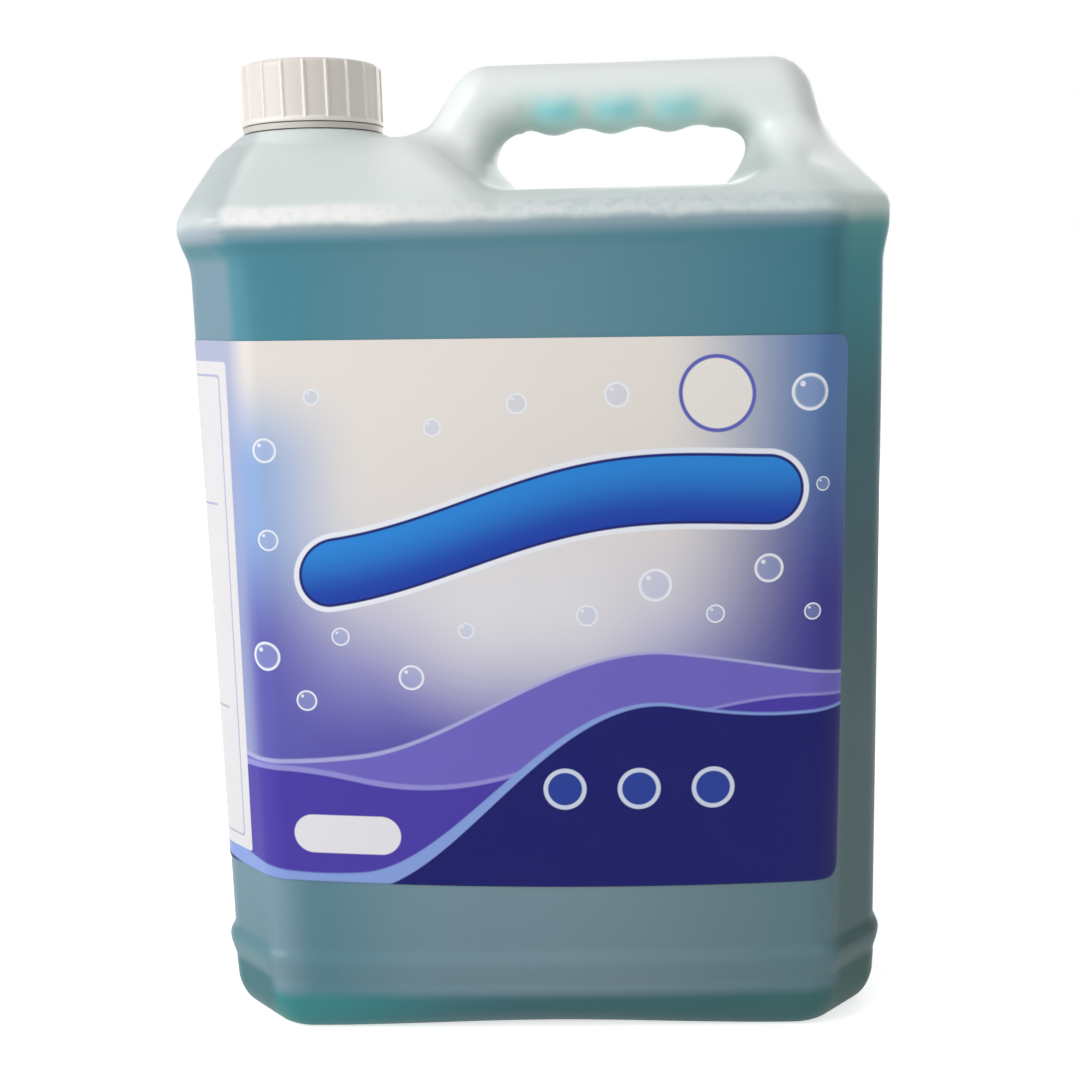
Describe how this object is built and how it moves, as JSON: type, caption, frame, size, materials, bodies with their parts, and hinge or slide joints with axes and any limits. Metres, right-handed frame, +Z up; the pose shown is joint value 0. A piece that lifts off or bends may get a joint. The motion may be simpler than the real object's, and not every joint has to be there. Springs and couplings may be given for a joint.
{
  "type": "laundry detergent bottle",
  "caption": "Blown bottle with a hollow carrying handle, a wrap label, liquid inside and a screw cap that turns and climbs off its neck.",
  "frame": {"origin": "centre of the underside, on the floor", "axes": "+X to the right seen from the front, +Y to the back, +Z up"},
  "size_m": [0.19, 0.1366, 0.2732],
  "materials": {
    "bottle": "translucent blown plastic, soft gloss",
    "detergent": "clear teal liquid with foam on top",
    "label": "glossy printed film",
    "cap_ring": "satin moulded",
    "cap": "satin moulded",
    "wad": "foam disc"
  },
  "bodies": {
    "bottle": {"bottle": "bottle", "detergent": "detergent", "label": "label", "safety_ring": "cap_ring"},
    "liner": {"cap_wad": "wad"},
    "cap": {"cap": "cap"}
  },
  "joints": [
    {"name": "cap_lift", "type": "slide", "parent": "bottle", "child": "liner", "axis": [0, 0, 1], "range_m": [0, 0.018]},
    {"name": "cap_turn", "type": "hinge", "parent": "liner", "child": "cap", "pos_m": [-0.0662, 0, 0.2703], "axis": [0, 0, 1], "range_deg": [0, 1531]}
  ],
  "couplings": [
    {"joint": "cap_lift", "follows": "cap_turn", "m_per_rad": 0.00067323}
  ]
}
